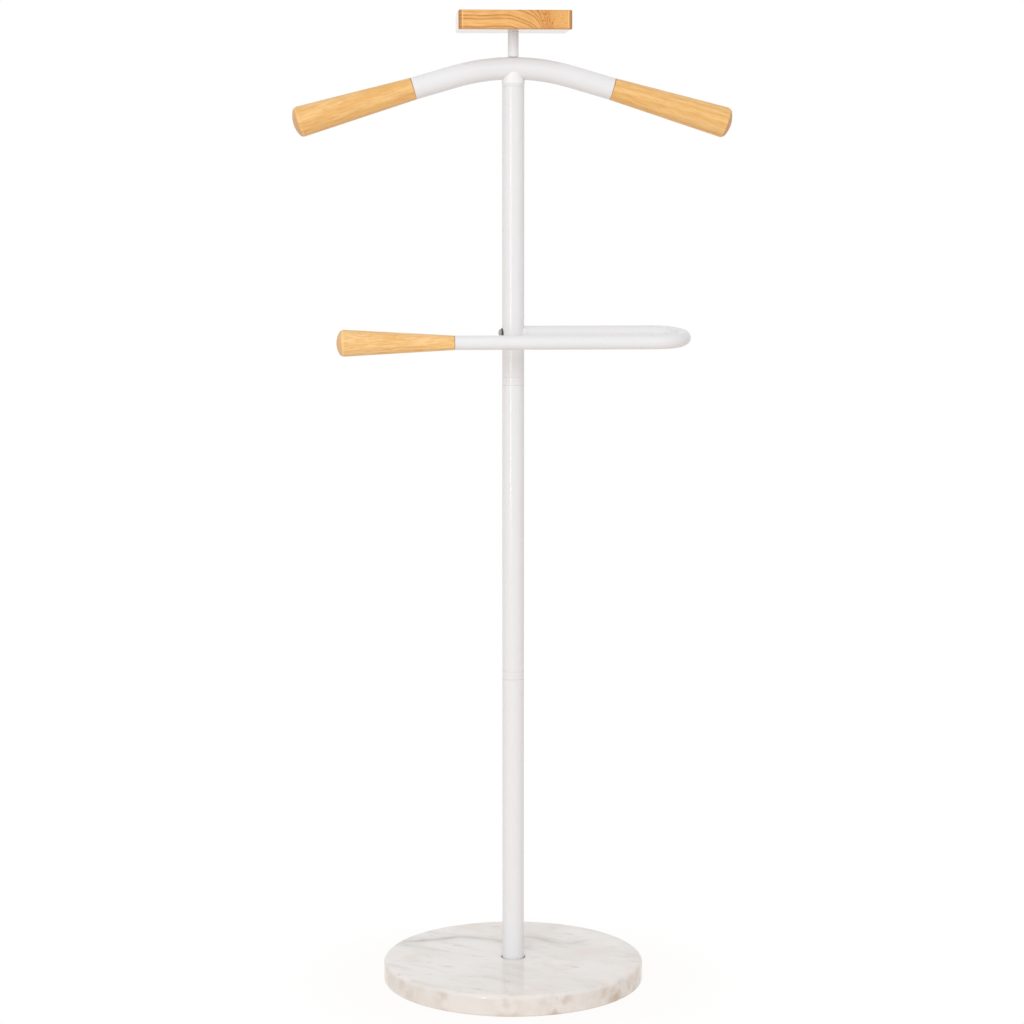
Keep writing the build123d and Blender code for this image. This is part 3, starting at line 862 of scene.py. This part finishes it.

# %% [markdown]
# ## The planed front of the tray
#
# This board is flat-sawn, so its yearly rings meet the face at a low angle. They run almost level from
# the left, fall away past the middle and dive steeply on the right. One curve tells how far every ring has
# fallen at each place along the board. A colour ramp works as that curve: its grey level is the fall. The
# height on the board plus the fall then numbers the rings, and a second ramp draws a thin dark line at
# the end of each year. The list gives each line's number, strength and width. Fine grain follows the same
# numbers. The rounded upright edges cut across the fibres and are browner, partly as painted shade where
# the round turns away from the light, and each has a pale line that is a painted highlight. The long
# edges are a little browner too, where the lacquer gathers.

# %% Planed wood
board_half = board_high.x
board_width = 2 * board_half / MM
figure_reach = 190.0
ring_fall = ((-62, 0), (-50, 0.2), (-43, 0.8), (-31, 0.6), (-21, 0), (-8, 0), (-4, 0.6), (0, 2.0),
             (5, 3.8), (10, 5.5), (15, 7.7), (19, 10), (22, 12.5), (25, 16), (28, 22), (30, 27.5),
             (34, 41), (37, 60), (41, 80), (48, 112), (62, 175))
ring_tilt = 0.25
year_lines = ((2.8, 1.0, 1.3), (11.3, 0.95, 1.2), (14.9, 0.95, 1.2), (18.8, 0.35, 1.2), (23.9, 1.0, 1.5),
              (28.5, 0.85, 1.8), (34.5, 0.85, 2.6), (46, 0.75, 3.6), (58, 0.75, 4.5), (72, 0.6, 5.5))
line_fall = 0.8
steep_zone = ((22, 0), (36, 1), (80, 1), (105, 0.4), (175, 0.25))
steep_tint = 0.48
# A painted highlight: one pale line on each rounded end
painted_edge_highlight = ((0, 0), (1.0, 0), (1.4, 0.55), (2.1, 0.55), (2.5, 0))
# The ends' brown: end grain, and partly painted shade where the round turns away from the light
end_brown_and_shade = ((0, 0), (2.4, 0), (2.7, 0.55), (6, 0.85))
end_zone = 6.0
edge_brown = ((0, 0.6), (0.06, 0.3), (0.15, 0), (0.94, 0), (1, 0.45))
wobble_size = 14.0
wobble_height = 0.8 * MM
wobble_squeeze = 0.4
pore_width = 2.6
grain_width = 2.0
grain_squeeze = 0.1
planed_rough = (0.34, 0.46)


def grey_stops(points, start, length, full=1):
    """Ramp stops that draw a curve: places from a start over a length, heights as shares of full."""
    return [((place - start) / length, [height / full] * 3 + [1]) for place, height in points]


planed_wood, tree, shader, place = new_material("planed_lacquered_wood")
parts = add_node(tree, "SeparateXYZ", {0: place}).node.outputs
board_x = add_node(tree, "MapRange", {"Value": parts["X"], "From Min": -board_half, "From Max": board_half})
fall = grey_stops(ring_fall, -board_width / 2, board_width, figure_reach)
fall = add_node(tree, "ValToRGB", {"Fac": board_x}, stops=fall)
front_foot = board_low.z + ring_tilt * board_low.y
height = add_node(tree, "Math", {0: parts["Y"], 1: ring_tilt, 2: parts["Z"]}, operation="MULTIPLY_ADD")
height = add_node(tree, "Math", {0: height, 1: front_foot}, operation="SUBTRACT")
year = add_node(tree, "Math", {0: fall, 1: figure_reach * MM, 2: height}, operation="MULTIPLY_ADD")
long_board = add_node(tree, "Mapping", {"Vector": place, "Scale": (wobble_squeeze, 1, 1)})
wobble = add_node(tree, "TexNoise", {"Vector": long_board, "Scale": per_mm(wobble_size), "Detail": 4.0})
drift = add_node(tree, "MapRange", {"Value": wobble, "To Min": -wobble_height, "To Max": wobble_height})
year = add_node(tree, "Math", {0: year, 1: drift}, operation="ADD")

# The lines at the end of each year, a little broken
line_stops = []
for number, strength, width in year_lines:
    line_stops += [(number - width, 0), (number, strength), (number + line_fall * width, 0)]
share = add_node(tree, "Math", {0: year, 1: figure_reach * MM}, operation="DIVIDE")
lines = add_node(tree, "ValToRGB", {"Fac": share}, stops=grey_stops(line_stops, 0, figure_reach))
fleck = add_node(tree, "TexNoise", {"Vector": place, "Scale": per_mm(pore_width)})
broken = add_node(tree, "MapRange", {"Value": fleck, "From Min": 0.32, "From Max": 0.62, "To Min": 0.65})
lines = add_node(tree, "Math", {0: lines, 1: broken}, operation="MULTIPLY")

# Where the rings dive, the face cuts them almost square and shows dark pores
zone = add_node(tree, "ValToRGB", {"Fac": share}, stops=grey_stops(steep_zone, 0, figure_reach))
pores = add_node(tree, "MapRange", {"Value": fleck, "From Min": 0.55, "From Max": 0.67, "To Max": 0.95})
pores = add_node(tree, "Math", {0: pores, 1: zone}, operation="MULTIPLY")
lines = add_node(tree, "Math", {0: lines, 1: pores}, operation="MAXIMUM")
steep = add_node(tree, "Math", {0: zone, 1: steep_tint}, operation="MULTIPLY")

# Fine grain along the rings
figure = add_node(tree, "CombineXYZ", {0: year, 1: parts["X"], 2: parts["Y"]})
figure = add_node(tree, "Mapping", {"Vector": figure, "Scale": (1, grain_squeeze, grain_squeeze)})
fibre = {"Vector": figure, "Scale": per_mm(grain_width), "Detail": 4.0, "Roughness": 0.6}
fibre = add_node(tree, "TexNoise", fibre)
streak = add_node(tree, "MapRange", {"Value": fibre, "From Min": 0.36, "From Max": 0.68})

# The rounded ends, with a painted highlight line and a browner end grain that is partly painted shade,
# and the long edges
to_end = add_node(tree, "Math", {0: parts["X"]}, operation="ABSOLUTE")
to_end = {"Value": to_end, "From Min": board_half - end_zone * MM, "From Max": board_half}
to_end = add_node(tree, "MapRange", to_end)
edge_highlight = add_node(tree, "ValToRGB", {"Fac": to_end}, stops=grey_stops(painted_edge_highlight, 0, end_zone))
end_grain_and_shade = add_node(tree, "ValToRGB", {"Fac": to_end}, stops=grey_stops(end_brown_and_shade, 0, end_zone))
rise = add_node(tree, "MapRange", {"Value": parts["Z"], "From Min": board_low.z, "From Max": board_high.z})
long_edges = add_node(tree, "ValToRGB", {"Fac": rise}, stops=grey_stops(edge_brown, 0, 1))

tints = [(streak, "DFA155"), (steep, "D58A3E"), (lines, "AC621B"),
         (edge_highlight, "FAD49A"), (end_grain_and_shade, "A96B34"), (long_edges, "B97B42")]
link_finish(tree, shader, tinted(tree, "EFBC75", *tints), fibre, planed_rough, fibre_height)
tray_board.data.materials.append(planed_wood)
print("year lines on the tray front:", len(year_lines))

# %% [markdown]
# ## Polished marble
#
# The base is a white marble with faint slanting streaks, short grey flecks, a few rosy patches, and one
# dark vein that wanders across the back of the disc. Its top is polished enough to mirror the foot of the
# pole. The sawn edge is warmer and darker from just below the rim down, partly its own tone and partly
# painted shade under a lighter rim, and it has brown patches. Streaks, flecks and patches are one noise at
# several sizes, of which only the peaks show. The vein is a curve in a colour ramp again: its grey level
# is how far back the vein lies at each place across the disc, and a second ramp tells how strong it is
# there.

# %% Marble
streak_turn = radians(-42)
fleck_turn = radians(-15)
vein_reach = 150.0
vein_course = ((-118, 69), (-95, 72), (-70, 80), (-58, 82), (-35, 76), (-10, 63), (23, 81), (50, 55),
               (60, 46), (75, 50), (90, 60), (126, 67))
vein_strength = ((-150, 0.1), (-120, 0.35), (-104, 0.65), (-92, 0.4), (-77, 0.55), (-69, 0.6), (-60, 0.35),
                 (-40, 0.4), (-12, 0.28), (20, 0.25), (40, 0.42), (52, 0.28), (62, 0.12), (80, 0.3),
                 (96, 0.05))
vein_core = 1.5 * MM
vein_width = 10.0 * MM
halo_width = 25.0 * MM
halo_strength = 0.35
wander_size = 22.0
vein_wander = 6.0 * MM
patch_angles = ((-150, 0.3), (-130, 0.1), (-125, 0.45), (-120, 0.0), (-103, 0.1), (-96, 0.6), (-89, 0.1),
                (-79, 0.3), (-74, 0.8), (-68, 0.2), (-54, 0.2), (-47, 0.6), (-40, 0.8), (-33, 0.4),
                (-20, 0.5), (0, 0.2))
sawn_below = 5.0 * MM
polished_above = 0.5 * MM
socket_shade_grey = 0.6

marble, tree, shader, place = new_material("polished_marble", Roughness=0.12)
parts = add_node(tree, "SeparateXYZ", {0: place}).node.outputs


def noise_peaks(size, low, high, most, turn=0, stretch=1):
    """Peaks of a noise with features of a size in mm, stretched along a turn: none at low, most at high."""
    slant = {"Vector": place, "Rotation": (0, 0, turn), "Scale": (stretch, 1, 1)}
    slant = add_node(tree, "Mapping", slant, vector_type="TEXTURE")
    noise = add_node(tree, "TexNoise", {"Vector": slant, "Scale": per_mm(size), "Detail": 3.0})
    peaks = {"Value": noise, "From Min": low, "From Max": high, "To Max": most}
    return add_node(tree, "MapRange", peaks, **SMOOTH)


# The vein: how far a point lies from its course, and how strong the vein is there
across = {"Value": parts["X"], "From Min": -vein_reach * MM, "From Max": vein_reach * MM}
across = add_node(tree, "MapRange", across)
course = grey_stops(vein_course, -vein_reach, 2 * vein_reach, vein_reach)
course = add_node(tree, "ValToRGB", {"Fac": across}, stops=course)
strength = grey_stops(vein_strength, -vein_reach, 2 * vein_reach)
strength = add_node(tree, "ValToRGB", {"Fac": across}, stops=strength)
wander = add_node(tree, "TexNoise", {"Vector": place, "Scale": per_mm(wander_size), "Detail": 4.0})
wander = add_node(tree, "MapRange", {"Value": wander, "To Min": -vein_wander, "To Max": vein_wander})
behind = add_node(tree, "Math", {0: course, 1: -vein_reach * MM, 2: parts["Y"]}, operation="MULTIPLY_ADD")
behind = add_node(tree, "Math", {0: behind, 1: wander}, operation="ADD")
behind = add_node(tree, "Math", {0: behind}, operation="ABSOLUTE")
core = {"Value": behind, "From Min": vein_core, "From Max": vein_width, "To Min": 1, "To Max": 0}
core = add_node(tree, "MapRange", core, **SMOOTH)
halo = {"Value": behind, "From Max": halo_width, "To Min": halo_strength, "To Max": 0}
halo = add_node(tree, "MapRange", halo, **SMOOTH)
vein = add_node(tree, "Math", {0: core, 1: halo}, operation="MAXIMUM")
vein = add_node(tree, "Math", {0: vein, 1: strength}, operation="MULTIPLY")

# The sawn edge, darker from just below the rim, partly its own tone and partly painted shade,
# and its patches by their angle round the disc
edge = {"Value": parts["Z"], "From Min": disc_high.z - sawn_below, "From Max": disc_high.z - polished_above}
edge = add_node(tree, "MapRange", {**edge, "To Min": 1, "To Max": 0})
round_disc = add_node(tree, "TexGradient", {"Vector": place}, output="Fac", gradient_type="RADIAL")
patches = add_node(tree, "ValToRGB", {"Fac": round_disc}, stops=grey_stops(patch_angles, -180, 360))
for share in (noise_peaks(size=14.0, low=0.35, high=0.7, most=1.0), edge):
    patches = add_node(tree, "Math", {0: patches, 1: share}, operation="MULTIPLY")

# Painted shade: a grey ring round the rim of the socket stands in for the shadow round the pole's foot
from_axis = add_node(tree, "Mapping", {"Vector": place, "Scale": (1, 1, 0)})
from_axis = add_node(tree, "VectorMath", {0: from_axis}, output="Value", operation="LENGTH")
off_rim = add_node(tree, "Math", {0: from_axis, 1: socket_radius + socket_edge}, operation="SUBTRACT")
off_rim = add_node(tree, "Math", {0: off_rim}, operation="ABSOLUTE")
socket_rim_shade = {"Value": off_rim, "From Max": socket_edge, "To Min": socket_shade_grey, "To Max": 0}
socket_rim_shade = add_node(tree, "MapRange", socket_rim_shade)

colour = tinted(
    tree,
    "F0ECE9",
    (noise_peaks(size=60.0, low=0.4, high=0.65, most=1.0, turn=streak_turn, stretch=2.0), "E9E5E1"),
    (noise_peaks(size=45.0, low=0.54, high=0.74, most=0.6), "E7DAD3"),
    (noise_peaks(size=22.0, low=0.5, high=0.8, most=0.55, turn=streak_turn, stretch=3.5), "C6C2BE"),
    (noise_peaks(size=10.0, low=0.58, high=0.78, most=0.44, turn=fleck_turn, stretch=2.2), "BCB7B3"),
    (vein, "949190"),
    (edge, "E1DDDA"),
    (patches, "B5A08C"),
    (socket_rim_shade, "A39D9A"),
)
tree.links.new(colour, shader.inputs["Base Color"])
marble_disc.data.materials.append(marble)
print("points on the marble's vein:", len(vein_course))

# %% [markdown]
# ## Steel, rubber and foam
#
# The small parts wear two plated metals and two soft blacks. The bolt head is nickel-plated and bright. The
# hidden studs and inserts are zinc-plated, with the soft spangle of a barrel-plated part. The washer is
# moulded rubber and the ring under the base is closed-cell foam, full of tiny pits.

# %% Small finishes
nickel = {"size": 1.2, "height": 0.004, "rough": (0.16, 0.26), "Metallic": 1.0}
zinc = {"size": 3.0, "height": 0.01, "rough": (0.3, 0.45), "Metallic": 1.0}
rubber = {"size": 0.8, "height": 0.02, "rough": (0.6, 0.75)}
foam = {"size": 1.0, "height": 0.12, "rough": (0.8, 0.95)}
finishes = {
    "white_powder_coat": tube_coat,
    "white_plastic": saddle_plastic,
    "bright_steel": grained_finish("nickel_plated_steel", "B4B2AC", "9C9A94", **nickel),
    "zinc_steel": grained_finish("zinc_plated_steel", "C3C6CA", "A9ADB3", **zinc),
    "black_rubber": grained_finish("moulded_black_rubber", "4C474C", "3C383C", **rubber),
    "foam_pad": grained_finish("closed_cell_foam", "262626", "161616", **foam),
}
foam_ring.data.materials.append(finishes["foam_pad"])
tray_pan.data.materials.append(shaded_tray_coat)
for piece in (*pole_lengths, hanger_tube, trouser_rail, tray_post):
    piece.data.materials.append(tube_coat)
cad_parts["bar_spacer"].material_slots[0].material = spacer_plastic
for node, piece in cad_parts.items():
    for holder in piece.material_slots:
        slot_name = holder.material.name.split(".")[0]
        holder.material = finishes.get(slot_name, holder.material)
    if not piece.hide_render:
        print(node, "keeps its CAD shape, in", piece.material_slots[0].material.name)
